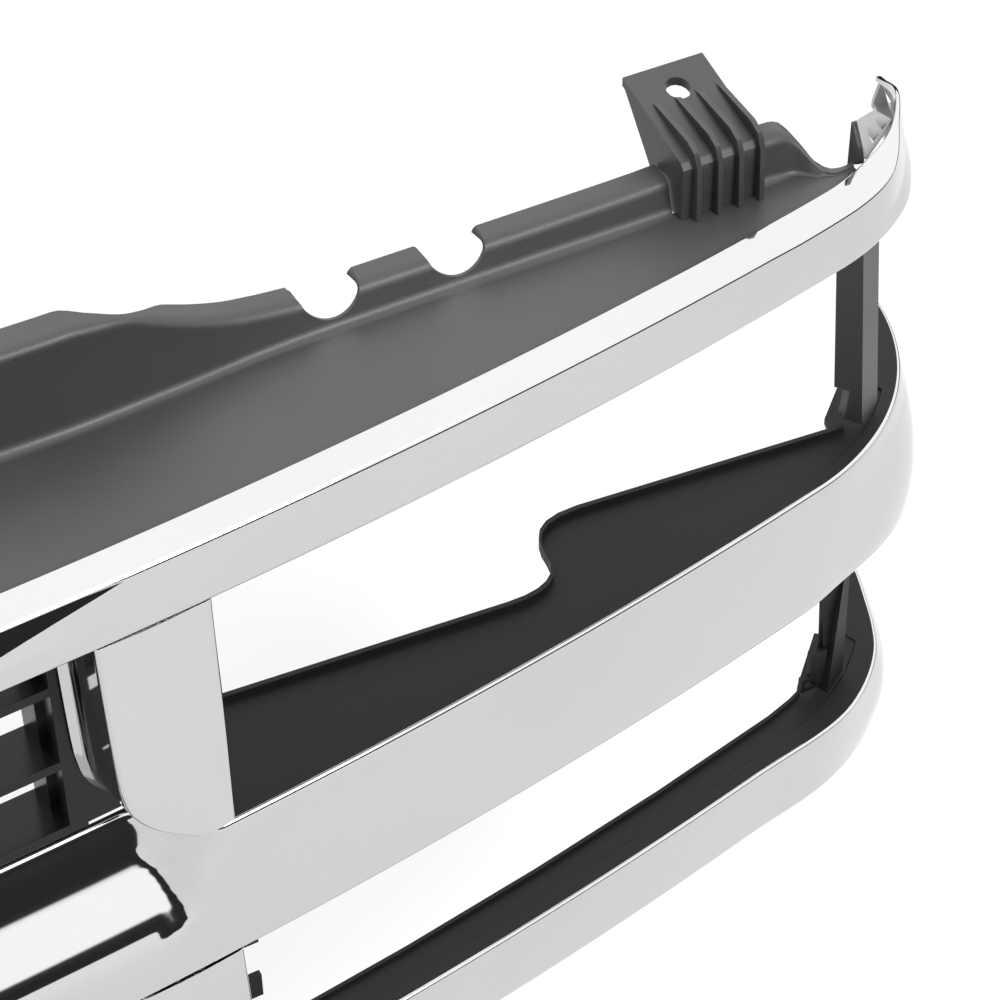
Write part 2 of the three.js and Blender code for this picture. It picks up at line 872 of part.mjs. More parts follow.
// Chromed slope over that corner: it rises from the bevel's back edge to the rear edge and is
// pierced by two pockets.
function wrapGusset() {
  const { frontLeft, frontRight, rearLeft, rearRight } = GUSSET;
  const section = ([fx, fy], [rx, ry], top) => [
    [fx, fy, GUSSET_FOOT],
    [fx + 0.35 * (rx - fx), fy + 0.35 * (ry - fy), GUSSET_FOOT],
    [rx, ry, top - 6],
    [rx, ry, top],
    [fx, fy, GUSSET_FOOT + 2],
  ];
  const rings = [section(frontLeft, rearLeft, GUSSET_TOP), section(frontRight, rearRight, GUSSET_TOP - 6)];
  const flat = rings.map((ring) => ring.map(([, y, z]) => [y, z]));
  const slope = loft(flat, rings.map((ring) => ring.map((point) => new THREE.Vector3(...point))));
  const across = (along, back) => {
    const front = new THREE.Vector2(...frontLeft).lerp(new THREE.Vector2(...frontRight), along);
    const rear = new THREE.Vector2(...rearLeft).lerp(new THREE.Vector2(...rearRight), along);
    return front.lerp(rear, back).toArray();
  };
  const pockets = [
    [0.26, 0.52],
    [0.64, 0.88],
  ].map(([from, to]) =>
    slab([across(from, 0.12), across(to, 0.12), across(to, 0.75), across(from, 0.75)], GUSSET_FOOT - 5, 200),
  );
  return cut(slope, pockets);
}

// ---------------------------------------------------------------- badge and fasteners

// The badge lies on the slope of the centre cove; its studs run square to that slope.
const COVE_ANGLE = Math.atan2(MIDDLE_COVE_PATH[2][0] - 3.4, 57 - 1.5);
const BADGE_CENTRE = new THREE.Vector3(0, (29 + 3.4) / 2 - 2.5, -29.5);

function onCoveSlope(geometry) {
  geometry.rotateX(-COVE_ANGLE);
  geometry.translate(...BADGE_CENTRE.toArray());
  return geometry;
}

// Rod along the slope's normal, from and to measured backward from the badge's back face.
function studRod(x, radius, from, to) {
  const start = new THREE.Vector3(x, from, 0);
  return onCoveSlope(rod(start, new THREE.Vector3(x, to, 0), radius));
}

function badge() {
  const corner = BADGE_HEIGHT * 0.3;
  const w = BADGE_WIDTH / 2;
  const h = BADGE_HEIGHT / 2;
  const shape = new THREE.Shape();
  shape.moveTo(-w + corner, -h);
  shape.lineTo(w - corner, -h);
  shape.absarc(w - corner, -h + corner, corner, -Math.PI / 2, 0);
  shape.absarc(w - corner, h - corner, corner, 0, Math.PI / 2);
  shape.absarc(-w + corner, h - corner, corner, Math.PI / 2, Math.PI);
  shape.absarc(-w + corner, -h + corner, corner, Math.PI, 1.5 * Math.PI);
  const plate = new THREE.ExtrudeGeometry(shape, {
    depth: BADGE_THICKNESS,
    bevelEnabled: false,
    curveSegments: 5,
  });
  plate.rotateX(Math.PI / 2);
  const studs = [-STUD_X, STUD_X].map((x) => studRod(x, STUD_RADIUS, -2, 18));
  return join([onCoveSlope(plate), ...studs]);
}

function badgeNut(x) {
  const disc = studRod(x, 8, 13, 15.5);
  return cut(disc, [studRod(x, STUD_RADIUS + GAP, 5, 25)]);
}

function screw(side, [s, z]) {
  const back = INSERT_DEPTH + WALL + GAP;
  const shank = rod(place(side * s, 16, z), place(side * s, back + 1, z), SCREW_RADIUS);
  const head = rod(place(side * s, back, z), place(side * s, back + SCREW_HEAD_HEIGHT, z), SCREW_HEAD_RADIUS);
  return join([shank, head]);
}

// ---------------------------------------------------------------- assembly

const chrome = { color: 0xd9dbdd, roughness: 0.08, metalness: 1 };
const blackPlastic = { color: 0x2b2c2e, roughness: 0.55, metalness: 0 };
const zincSteel = { color: 0xa9abab, roughness: 0.35, metalness: 1 };

const grille = new THREE.Group();

function addPiece(name, geometry, look) {
  const piece = new THREE.Mesh(geometry, new THREE.MeshStandardMaterial(look));
  piece.name = name;
  grille.add(piece);
}

function addPair(name, right, look) {
  addPiece(`${name}_right`, right, look);
  addPiece(`${name}_left`, mirrorX(right), look);
}

addPiece("upper_bar", upperBar(), chrome);
addPiece("middle_bar", middleBar(), chrome);
addPiece("lower_bar", lowerBar(), chrome);
addPair("upper_post", upperPost(1), chrome);
addPair("lower_post", lowerPost(1), chrome);
addPair("wrap_gusset", wrapGusset(), chrome);
addPiece("badge_blank", badge(), chrome);

addPiece("upper_insert", insert(0.6, 126, [38, 79], 4.5, UPPER_BOSSES), blackPlastic);
addPiece("lower_insert", insert(-166, -89, [-129.5], 4.5, LOWER_BOSSES), blackPlastic);
addPiece("top_panel", topPanel(), blackPlastic);
addPair("mounting_tab", mountingTab(), blackPlastic);
addPair("headlamp_floor", headlampFloor(), blackPlastic);
addPair("lamp_shelf", lampShelf(), blackPlastic);
addPair("upper_pillar", upperPillar(), blackPlastic);
addPair("lower_pillar", lowerPillar(), blackPlastic);
addPair("upper_rail", rail(3, 121, []), blackPlastic);
addPair("lower_rail", rail(-165, -88, [[-100, -89], [-136, -122], [-164, -154]]), blackPlastic);

[-STUD_X, STUD_X].forEach((x, i) => addPiece(`badge_nut_${i + 1}`, badgeNut(x), zincSteel));
[...UPPER_BOSSES, ...LOWER_BOSSES].forEach((boss, i) => {
  addPiece(`insert_screw_right_${i + 1}`, screw(1, boss), zincSteel);
  addPiece(`insert_screw_left_${i + 1}`, screw(-1, boss), zincSteel);
});

// The origin is the centre of the whole grille's bounding box.
const centre = new THREE.Box3().setFromObject(grille).getCenter(new THREE.Vector3());
grille.position.sub(centre);

export default grille;
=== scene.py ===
import math

import bpy
from mathutils import Matrix, Vector


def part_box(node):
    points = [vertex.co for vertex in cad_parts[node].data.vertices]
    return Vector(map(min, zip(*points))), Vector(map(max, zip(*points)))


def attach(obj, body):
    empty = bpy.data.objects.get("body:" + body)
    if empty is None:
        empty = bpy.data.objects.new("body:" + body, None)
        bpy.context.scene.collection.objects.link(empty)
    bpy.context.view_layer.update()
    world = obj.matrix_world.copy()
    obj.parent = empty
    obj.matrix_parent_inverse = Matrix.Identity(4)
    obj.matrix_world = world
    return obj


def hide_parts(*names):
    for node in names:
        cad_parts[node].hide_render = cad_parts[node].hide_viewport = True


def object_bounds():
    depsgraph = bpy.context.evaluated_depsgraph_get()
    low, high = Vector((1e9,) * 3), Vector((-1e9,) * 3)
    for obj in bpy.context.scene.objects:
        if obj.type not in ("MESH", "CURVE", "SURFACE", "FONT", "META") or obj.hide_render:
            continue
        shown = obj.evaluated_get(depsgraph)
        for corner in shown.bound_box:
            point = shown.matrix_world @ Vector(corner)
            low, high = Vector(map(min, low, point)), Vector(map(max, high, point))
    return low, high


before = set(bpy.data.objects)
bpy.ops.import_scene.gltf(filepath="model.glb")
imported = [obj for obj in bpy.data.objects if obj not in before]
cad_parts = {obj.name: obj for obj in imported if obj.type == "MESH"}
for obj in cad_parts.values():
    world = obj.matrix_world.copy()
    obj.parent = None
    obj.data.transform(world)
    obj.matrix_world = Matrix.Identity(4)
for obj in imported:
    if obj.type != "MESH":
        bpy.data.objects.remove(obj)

cad_low, cad_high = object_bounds()

# Full-width front grille: chrome bars and posts over a black carrier.
# Shapes are written in millimetres: X right, Y back from the middle of the front face,
# Z up from the top edge of the middle bar. in_frame() sets them in the CAD frame.

MM = 0.001
PANEL_FRONT = 17.8
ORIGIN_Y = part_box("top_panel")[0].y - PANEL_FRONT * MM
ORIGIN_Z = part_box("middle_bar")[1].z

FRONT_ARCS = ((5655, 436), (2670, 388.5), (135.6, 151))
UPPER_END = 970
MIDDLE_END = 979
LOWER_END = 966
WALL = 3.0
PANEL_WALL = 2.8
POST_WALL = 2.6
END_PLATE_WALL = 2.6
CREASE_Z = 154
UPPER_BOTTOM = 122.3
MIDDLE_BOTTOM = -86
LOWER_TOP = -168
LOWER_BOTTOM = -218.5
PANEL_Z = 150
POST_OUTER = 500
LINED_FROM = POST_OUTER - 3
TAB_X = 777.5
TAB_SEAT_HALF_WIDTH = 21
NOTCH_X = (598, 656)
NOTCH_RADIUS = 14
NOTCH_CENTRE_Z = 168.0
SIDES = ((1, "right"), (-1, "left"))


def in_frame(x, y, z):
    return Vector((x * MM, ORIGIN_Y + y * MM, ORIGIN_Z + z * MM))


def front_point(s):
    """X, Y and heading of the front face's plan curve at arc length s."""
    x = y = heading = 0.0
    rest = abs(s)
    for radius, length in FRONT_ARCS:
        run = min(rest, length)
        turned = heading + run / radius
        x += radius * (math.sin(turned) - math.sin(heading))
        y += radius * (math.cos(heading) - math.cos(turned))
        heading = turned
        rest -= run
    x += rest * math.cos(heading)
    y += rest * math.sin(heading)
    return (-x, y, -heading) if s < 0 else (x, y, heading)


def place(s, depth, z):
    x, y, heading = front_point(s)
    return in_frame(x - depth * math.sin(heading), y + depth * math.cos(heading), z)


def smooth_step(value, low, high):
    t = min(max((value - low) / (high - low), 0.0), 1.0)
    return t * t * (3 - 2 * t)


def along(table, x):
    """Smooth curve through (place, value) pairs, the same on both sides of the middle."""
    x = abs(x)
    if x <= table[0][0]:
        return table[0][1]
    if x >= table[-1][0]:
        return table[-1][1]
    i = max(k for k in range(len(table) - 1) if table[k][0] <= x)
    slopes = []
    for k in (i, i + 1):
        before, after = table[max(k - 1, 0)], table[min(k + 1, len(table) - 1)]
        slopes.append((after[1] - before[1]) / (after[0] - before[0]))
    (x0, v0), (x1, v1) = table[i], table[i + 1]
    width = x1 - x0
    t = (x - x0) / width
    rise = v1 - v0
    a = slopes[0] * width - rise
    b = -slopes[1] * width + rise
    return v0 + rise * t + t * (1 - t) * (a * (1 - t) + b * t)


def rounded(path, steps=4):
    """An open path of (u, v, rounding) with each inner corner replaced by a curve."""
    points = [Vector(path[0][:2])]
    for before, corner, after in zip(path, path[1:], path[2:]):
        a, b, c = (Vector(p[:2]) for p in (before, corner, after))
        reach = corner[2] if len(corner) > 2 else 0.4
        start = b + (a - b).normalized() * min(reach, (a - b).length * 0.48)
        end = b + (c - b).normalized() * min(reach, (c - b).length * 0.48)
        for k in range(steps + 1):
            t = k / steps
            points.append(start * (1 - t) ** 2 + b * 2 * t * (1 - t) + end * t * t)
    points.append(Vector(path[-1][:2]))
    return points


# ------------------------------------------------------------------ making pieces


def start_clean():
    bpy.ops.object.select_all(action="DESELECT")


def make_active(piece):
    start_clean()
    piece.select_set(True)
    bpy.context.view_layer.objects.active = piece


def apply_modifier(piece, kind, **settings):
    make_active(piece)
    modifier = piece.modifiers.new(kind.title(), kind)
    for key, value in settings.items():
        setattr(modifier, key, value)
    bpy.ops.object.modifier_apply(modifier=modifier.name)


def edit(piece, *steps):
    """Runs edit-mode operators, each a (operator, settings) pair, on all of a piece."""
    make_active(piece)
    bpy.ops.object.mode_set(mode="EDIT")
    bpy.ops.mesh.select_all(action="SELECT")
    for operator, settings in steps:
        operator(**settings)
    bpy.ops.object.mode_set(mode="OBJECT")


def outward(piece):
    edit(piece, (bpy.ops.mesh.normals_make_consistent, {"inside": False}))


def soften(piece, angle=38):
    make_active(piece)
    bpy.ops.object.shade_smooth_by_angle(angle=math.radians(angle))
    apply_modifier(piece, "WEIGHTED_NORMAL", keep_sharp=True, weight=60)


def thicken(piece, wall, offset):
    apply_modifier(
        piece,
        "SOLIDIFY",
        thickness=wall * MM,
        offset=offset,
        use_even_offset=True,
        thickness_clamp=0.9,
    )


def mirrored(half):
    """Stations on both sides of the middle, from those on one side."""
    return [-s for s in reversed(half[1:])] + half


def net(name, columns, rows, spot):
    """A grid with its corner (i, j) moved to spot(i, j)."""
    start_clean()
    bpy.ops.mesh.primitive_grid_add(x_subdivisions=columns, y_subdivisions=rows, size=2)
    piece = bpy.context.object
    piece.name = piece.data.name = name
    for corner in piece.data.vertices:
        i = round((corner.co.x + 1) / 2 * columns)
        j = round((corner.co.y + 1) / 2 * rows)
        corner.co = spot(i, j)
    return piece


def shell(name, stations, section, point, wall=WALL, behind=1):
    """A wall swept through stations: section(s) is its outer path, point sets it in space.
    The wall lies behind that path: 1 for a path that runs downward, -1 for one running back.
    Of its two skins, the one further back is marked for a lining, and so is its rim."""
    paths = [section(s) for s in stations]
    piece = net(
        name,
        len(stations) - 1,
        len(paths[0]) - 1,
        lambda i, j: point(stations[i], *paths[i][j]),
    )
    face_count = len(piece.data.polygons)
    thicken(piece, wall, behind)
    skins = [piece.data.polygons[:face_count], piece.data.polygons[face_count : 2 * face_count]]
    rear = max(skins, key=lambda skin: sum(face.center.y for face in skin))
    mark_lining(piece, [*rear, *piece.data.polygons[2 * face_count :]])
    outward(piece)
    return piece


def mark_lining(piece, faces):
    """Faces that take a piece's lining rather than its outer finish."""
    marks = piece.data.attributes
    mark = marks.get("lining") or marks.new("lining", "BOOLEAN", "FACE")
    for face in faces:
        mark.data[face.index].value = True


def line_flange(piece, top, beyond):
    """Lines the flat top flange of a bar past a given X, where a black shelf lies beside it."""
    level = ORIGIN_Z + (top - 0.01) * MM
    faces = [f for f in piece.data.polygons if f.center.z > level and abs(f.center.x) > beyond * MM]
    mark_lining(piece, faces)


def prism(name, outline, push):
    """A flat outline of points, extruded by a vector."""
    start_clean()
    bpy.ops.mesh.primitive_circle_add(vertices=len(outline), fill_type="NGON")
    piece = bpy.context.object
    piece.name = piece.data.name = name
    for corner, spot in zip(piece.data.vertices, outline):
        corner.co = spot
    edit(
        piece,
        (bpy.ops.mesh.extrude_region_move, {"TRANSFORM_OT_translate": {"value": push}}),
        (bpy.ops.mesh.select_all, {"action": "SELECT"}),
        (bpy.ops.mesh.normals_make_consistent, {"inside": False}),
    )
    return piece


def join_all(first, *others):
    make_active(first)
    for other in others:
        other.select_set(True)
    bpy.ops.object.join()
    return first


def cut_away(piece, *tools):
    for tool in tools:
        apply_modifier(piece, "BOOLEAN", object=tool, operation="DIFFERENCE", solver="EXACT")
        bpy.data.objects.remove(tool)


def finished(piece, material, slot, *nodes, lining=None):
    piece.data.materials.clear()
    piece.data.materials.append(material)
    if lining:
        piece.data.materials.append(lining)
        marks = [mark.value for mark in piece.data.attributes["lining"].data]
        for face, marked in zip(piece.data.polygons, marks):
            face.material_index = int(marked)
    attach(piece, "root")
    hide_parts(*nodes)


def refined(node, width, material, slot, segments=2, angle=38):
    """A CAD piece with its edges rounded as a moulding's are."""
    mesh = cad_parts[node].data.copy()
    piece = bpy.data.objects.new(node + "_moulding", mesh)
    bpy.context.scene.collection.objects.link(piece)
    edit(
        piece,
        (bpy.ops.mesh.remove_doubles, {"threshold": 1e-6}),
        (bpy.ops.mesh.dissolve_limited, {"angle_limit": math.radians(0.8)}),
    )
    apply_modifier(
        piece,
        "BEVEL",
        width=width * MM,
        segments=segments,
        limit_method="ANGLE",
        angle_limit=math.radians(28),
        use_clamp_overlap=True,
    )
    soften(piece, angle)
    finished(piece, material, slot, node)
    return piece


# ------------------------------------------------------------------ finishes


def group(name, inputs, outputs):
    tree = bpy.data.node_groups.new(name, "ShaderNodeTree")
    for label, kind, value in inputs:
        socket = tree.interface.new_socket(label, in_out="INPUT", socket_type=kind)
        socket.default_value = value
    for label, kind in outputs:
        tree.interface.new_socket(label, in_out="OUTPUT", socket_type=kind)
    return tree, tree.nodes.new("NodeGroupInput"), tree.nodes.new("NodeGroupOutput")


def node(tree, kind, links=None, **settings):
    made = tree.nodes.new(kind)
    for key, value in settings.items():
        setattr(made, key, value)
    for key, value in (links or {}).items():
        socket = made.inputs[key]
        if isinstance(value, bpy.types.NodeSocket):
            tree.links.new(value, socket)
        else:
            socket.default_value = value
    return made


def patches_group():
    """Large soft patches and small specks: a slow mask, a fine mask and their mix."""
    tree, given, out = group(
        "patches_and_specks",
        [
            ("Patch Scale", "NodeSocketFloat", 9.0),
            ("Speck Scale", "NodeSocketFloat", 900.0),
            ("Speck Share", "NodeSocketFloat", 0.3),
        ],
        [("Patches", "NodeSocketFloat"), ("Specks", "NodeSocketFloat"), ("Mix", "NodeSocketFloat")],
    )
    where = node(tree, "ShaderNodeTexCoord")
    patches = node(
        tree,
        "ShaderNodeTexNoise",
        {"Vector": where.outputs["Object"], "Scale": given.outputs["Patch Scale"], "Detail": 4.0},
    )
    specks = node(
        tree,
        "ShaderNodeTexNoise",
        {"Vector": where.outputs["Object"], "Scale": given.outputs["Speck Scale"], "Detail": 2.0},
    )
    both = node(
        tree,
        "ShaderNodeMix",
        {0: given.outputs["Speck Share"], 2: patches.outputs["Fac"], 3: specks.outputs["Fac"]},
    )
    tree.links.new(patches.outputs["Fac"], out.inputs["Patches"])
    tree.links.new(specks.outputs["Fac"], out.inputs["Specks"])
    tree.links.new(both.outputs[0], out.inputs["Mix"])
    return tree


def grain_group():
    """Moulded grain: a height for bump, and a mask of its hollows."""
    tree, given, out = group(
        "moulded_grain",
        [("Grain Scale", "NodeSocketFloat", 1400.0), ("Coarse Share", "NodeSocketFloat", 0.4)],
        [("Height", "NodeSocketFloat"), ("Hollows", "NodeSocketFloat")],
    )
    where = node(tree, "ShaderNodeTexCoord")
    cells = node(
        tree,
        "ShaderNodeTexVoronoi",
        {"Vector": where.outputs["Object"], "Scale": given.outputs["Grain Scale"]},
        feature="SMOOTH_F1",
    )
    waves = node(
        tree,
        "ShaderNodeTexNoise",
        {"Vector": where.outputs["Object"], "Scale": 420.0, "Detail": 3.0},
    )
    height = node(
        tree,
        "ShaderNodeMix",
        {0: given.outputs["Coarse Share"], 2: cells.outputs["Distance"], 3: waves.outputs["Fac"]},
    )
    hollows = node(
        tree,
        "ShaderNodeMapRange",
        {"Value": height.outputs[0], "From Min": 0.2, "From Max": 0.65},
    )
    tree.links.new(height.outputs[0], out.inputs["Height"])
    tree.links.new(hollows.outputs[0], out.inputs["Hollows"])
    return tree


def dust_group():
    """Fine dust that has settled on what faces up."""
    tree, given, out = group(
        "settled_dust",
        [("Amount", "NodeSocketFloat", 0.2), ("Cloud", "NodeSocketFloat", 0.5)],
        [("Mask", "NodeSocketFloat")],
    )
    surface = node(tree, "ShaderNodeNewGeometry")
    split = node(tree, "ShaderNodeSeparateXYZ", {"Vector": surface.outputs["Normal"]})
    upward = node(tree, "ShaderNodeMapRange", {"Value": split.outputs["Z"], "From Min": 0.3, "From Max": 1.0})
    cloudy = node(
        tree, "ShaderNodeMath", {0: upward.outputs[0], 1: given.outputs["Cloud"]}, operation="MULTIPLY"
    )
    mask = node(
        tree, "ShaderNodeMath", {0: cloudy.outputs[0], 1: given.outputs["Amount"]}, operation="MULTIPLY"
    )
    tree.links.new(mask.outputs[0], out.inputs["Mask"])
    return tree


PATCHES = patches_group()
GRAIN = grain_group()
DUST = dust_group()


def placed(tree, source, values):
    made = tree.nodes.new("ShaderNodeGroup")
    made.node_tree = source
    for key, value in values.items():
        if isinstance(value, bpy.types.NodeSocket):
            tree.links.new(value, made.inputs[key])
        else:
            made.inputs[key].default_value = value
    return made


def new_finish(name):
    material = bpy.data.materials.new(name)
    material.use_nodes = True
    shader = material.node_tree.nodes["Principled BSDF"]
    return material, material.node_tree, shader


def scaled(tree, source, low, high):
    made = node(
        tree,
        "ShaderNodeMapRange",
        {"Value": source, "From Min": 0.3, "From Max": 0.7, "To Min": low, "To Max": high},
    )
    return made.outputs[0]


def shade_between(tree, factor, dark, light):
    made = node(tree, "ShaderNodeMix", {0: factor, 6: dark, 7: light}, data_type="RGBA")
    return made.outputs[2]


def chrome_finish():
    material, tree, shader = new_finish("bright_chrome_plating")
    shader.inputs["Metallic"].default_value = 1.0
    film = placed(tree, PATCHES, {"Patch Scale": 7.0, "Speck Scale": 260.0, "Speck Share": 0.25})
    colour = shade_between(
        tree, film.outputs["Mix"], (0.48, 0.484, 0.49, 1), (0.55, 0.553, 0.558, 1)
    )
    tree.links.new(colour, shader.inputs["Base Color"])
    tree.links.new(scaled(tree, film.outputs["Mix"], 0.035, 0.075), shader.inputs["Roughness"])
    flow = node(
        tree,
        "ShaderNodeTexNoise",
        {"Vector": node(tree, "ShaderNodeTexCoord").outputs["Object"], "Scale": 26.0, "Detail": 1.0},
    )
    bump = node(
        tree,
        "ShaderNodeBump",
        {"Strength": 0.05, "Distance": 0.0006, "Height": flow.outputs["Fac"]},
    )
    tree.links.new(bump.outputs[0], shader.inputs["Normal"])
    return material


def satin_plating_finish():
    """The thin dull plating on the hidden side of a plated moulding."""
    material, tree, shader = new_finish("satin_plating")
    shader.inputs["Metallic"].default_value = 0.6
    film = placed(tree, PATCHES, {"Patch Scale": 18.0, "Speck Scale": 700.0, "Speck Share": 0.4})
    colour = shade_between(tree, film.outputs["Mix"], (0.50, 0.50, 0.51, 1), (0.64, 0.64, 0.65, 1))
    tree.links.new(colour, shader.inputs["Base Color"])
    tree.links.new(scaled(tree, film.outputs["Mix"], 0.38, 0.5), shader.inputs["Roughness"])
    bump = node(
        tree,
        "ShaderNodeBump",
        {"Strength": 0.12, "Distance": 0.0002, "Height": film.outputs["Specks"]},
    )
    tree.links.new(bump.outputs[0], shader.inputs["Normal"])
    return material


def plastic_finish(name, dark, light, rough, grain, dust, shine):
    material, tree, shader = new_finish(name)
    shader.inputs["IOR"].default_value = 1.5
    shader.inputs["Specular IOR Level"].default_value = shine
    clouds = placed(tree, PATCHES, {"Patch Scale": 11.0, "Speck Scale": 1300.0, "Speck Share": 0.35})
    skin = placed(tree, GRAIN, {"Grain Scale": grain[0], "Coarse Share": 0.35})
    film = placed(tree, DUST, {"Amount": dust, "Cloud": clouds.outputs["Patches"]})
    colour = shade_between(tree, clouds.outputs["Mix"], dark, light)
    dusty = shade_between(tree, film.outputs["Mask"], colour, (0.33, 0.33, 0.33, 1))
    tree.links.new(dusty, shader.inputs["Base Color"])
    tree.links.new(scaled(tree, clouds.outputs["Mix"], rough[0], rough[1]), shader.inputs["Roughness"])
    bump = node(
        tree,
        "ShaderNodeBump",
        {"Strength": grain[1], "Distance": 0.0002, "Height": skin.outputs["Height"]},
    )
    tree.links.new(bump.outputs[0], shader.inputs["Normal"])
    return material


def zinc_finish():
    material, tree, shader = new_finish("zinc_plated_steel")
    shader.inputs["Metallic"].default_value = 1.0
    bloom = placed(tree, PATCHES, {"Patch Scale": 120.0, "Speck Scale": 1500.0, "Speck Share": 0.4})
    colour = shade_between(tree, bloom.outputs["Mix"], (0.42, 0.42, 0.40, 1), (0.66, 0.66, 0.62, 1))
    tree.links.new(colour, shader.inputs["Base Color"])
    tree.links.new(scaled(tree, bloom.outputs["Mix"], 0.28, 0.5), shader.inputs["Roughness"])
    bump = node(
        tree,
        "ShaderNodeBump",
        {"Strength": 0.2, "Distance": 0.0001, "Height": bloom.outputs["Specks"]},
    )
    tree.links.new(bump.outputs[0], shader.inputs["Normal"])
    return material


CHROME = chrome_finish()
SATIN_PLATING = satin_plating_finish()
SATIN_BLACK = plastic_finish(
    "satin_moulded_black",
    dark=(0.028, 0.028, 0.029, 1),
    light=(0.043, 0.043, 0.045, 1),
    rough=(0.36, 0.46),
    grain=(1400.0, 0.3),
    dust=0.10,
    shine=0.5,
)
# A darker copy of the satin black, for the black parts that sit in shade under and behind the bars (floors,
# shelves, rails, lower pillars and the middle and lower bars' lining): painted shade.
SHADE_DARKENED_BLACK = plastic_finish(
    "shade_darkened_black",
    dark=(0.006, 0.006, 0.0065, 1),
    light=(0.011, 0.011, 0.0115, 1),
    rough=(0.46, 0.6),
    grain=(1500.0, 0.3),
    dust=0.02,
    shine=0.17,
)
# The inserts' glossier black is their own. Its much darker base stands for the shade they sit in behind the
# bars: painted shade.
SHADED_SLAT_BLACK = plastic_finish(
    "shaded_slat_black",
    dark=(0.005, 0.005, 0.0055, 1),
    light=(0.009, 0.009, 0.0095, 1),
    rough=(0.18, 0.28),
    grain=(1700.0, 0.1),
    dust=0.02,
    shine=0.2,
)
ZINC = zinc_finish()

# ------------------------------------------------------------------ chrome bars

# Depths behind the front face, as (station, depth).
CREASE_DEPTH = (
    (780, -0.6), (800, -0.9), (846, 1), (862, 2.8), (875, 6), (890, 9.8), (906, 12.6),
    (940, 13.6), (970, 13.2)
)
BEVEL_BACK = ((865, 17.3), (890, 15.5), (906, 15.4), (970, 16.2))
UPPER_FOOT = ((740, 0.8), (860, 1.6), (884, 2.2), (894, 3.2), (909, 5.2), (929, 7.2), (950, 7.8), (970, 7))
LOWER_LIP = (
    (0, -3.5), (780, -3.5), (800, -3.7), (830, -5.2), (856, -7.4), (880, -7.2), (903, -5.6),
    (919, -2.8), (941, 0.6), (966, 1.6)
)

# The fold under the upper bar's crease: its tip, how fast it opens, and its greatest height.
GROOVE_TIP = 466
GROOVE_OPENING = 0.197
GROOVE_HEIGHT = 13.0

# The wrapped ends: where the faces swell, and how far the upper bar's crown falls.
SWELL_RUN = (846, 936)
CROWN_FALL = 15.5
CROWN_FALL_RUN = (922, 982)

# Past the black shelf's end, a wider flange closes the wrapped corner.
CORNER_FLANGE = 11
CORNER_FLANGE_RUN = (908, 912)

# Stations are close together beside the posts, and again from the start of the corner.
POST_STRETCH = (432, 506)
CORNER_START = 800


def stations_to(end):
    """Stations out to an end: wide apart on the long sweep, close at the posts and corners."""
    half = [0.0]
    while half[-1] < end:
        s = half[-1]
        if POST_STRETCH[0] <= s < POST_STRETCH[1]:
            step = 2.0
        elif s >= CORNER_START:
            step = 4.0
        else:
            step = 16.0
        half.append(min(s + step, POST_STRETCH[0]) if s < POST_STRETCH[0] else s + step)
    half[-1] = end
    return mirrored(half)


def upper_section(s):
    """The upper bar at one station: bevel, crease, the fold under it, face and foot."""
    fold = min(max(GROOVE_TIP - abs(s), 0) * GROOVE_OPENING, GROOVE_HEIGHT)
    top = along(CREASE_DEPTH, s)
    foot = along(UPPER_FOOT, s)
    back = max(along(BEVEL_BACK, s), top + 2.2)
    fall = CROWN_FALL * smooth_step(abs(s), *CROWN_FALL_RUN) / smooth_step(UPPER_END, *CROWN_FALL_RUN)
    crown = CREASE_Z - fall
    drop = (crown - UPPER_BOTTOM) / (CREASE_Z - UPPER_BOTTOM)
    return rounded(
        [
            (back + 0.3, crown - 4.4 * drop),
            (back, crown + 0.2, 0.8),
            (top + 0.6, crown, 1.1),
            (top, crown - 1.2, 1.0),
            (top + 0.1 + fold * 0.45, crown - 1.6 * drop - fold * 0.2, 0.4),
            (top + 0.1 + fold * 0.12, crown - 1.8 * drop - fold * 1.1, 0.8),
            (top + (foot - top) * 0.5, UPPER_BOTTOM + 13 * drop, 1.5),
            (foot - 0.2, UPPER_BOTTOM + 1.8, 1.6),
            (foot + 1.6, UPPER_BOTTOM, 1.2),
            (foot + 10, UPPER_BOTTOM),
        ]
    )


def upper_bar():
    bar = shell("upper_bar_chrome", stations_to(UPPER_END), upper_section, place)
    ends = []
    for side, word in SIDES:
        s = side * (UPPER_END - 3)
        foot = along(UPPER_FOOT, s)
        outline = [
            place(s, foot + 2.4, UPPER_BOTTOM + 0.4),
            place(s, foot + 10.4, UPPER_BOTTOM + 0.4),
            place(s, foot + 10.2, UPPER_BOTTOM + 4),
            place(s, foot + 8.6, UPPER_BOTTOM + 10),
            place(s, 14.2, UPPER_BOTTOM + 15),
        ]
        _, _, heading = front_point(s)
        push = Vector((math.cos(heading), math.sin(heading), 0)) * (side * END_PLATE_WALL * MM)
        plate = prism("upper_bar_end_" + word, outline, push)
        mark_lining(plate, plate.data.polygons)
        ends.append(plate)
    join_all(bar, *ends)
    soften(bar)
    finished(bar, CHROME, "chrome", "upper_bar", lining=SATIN_PLATING)


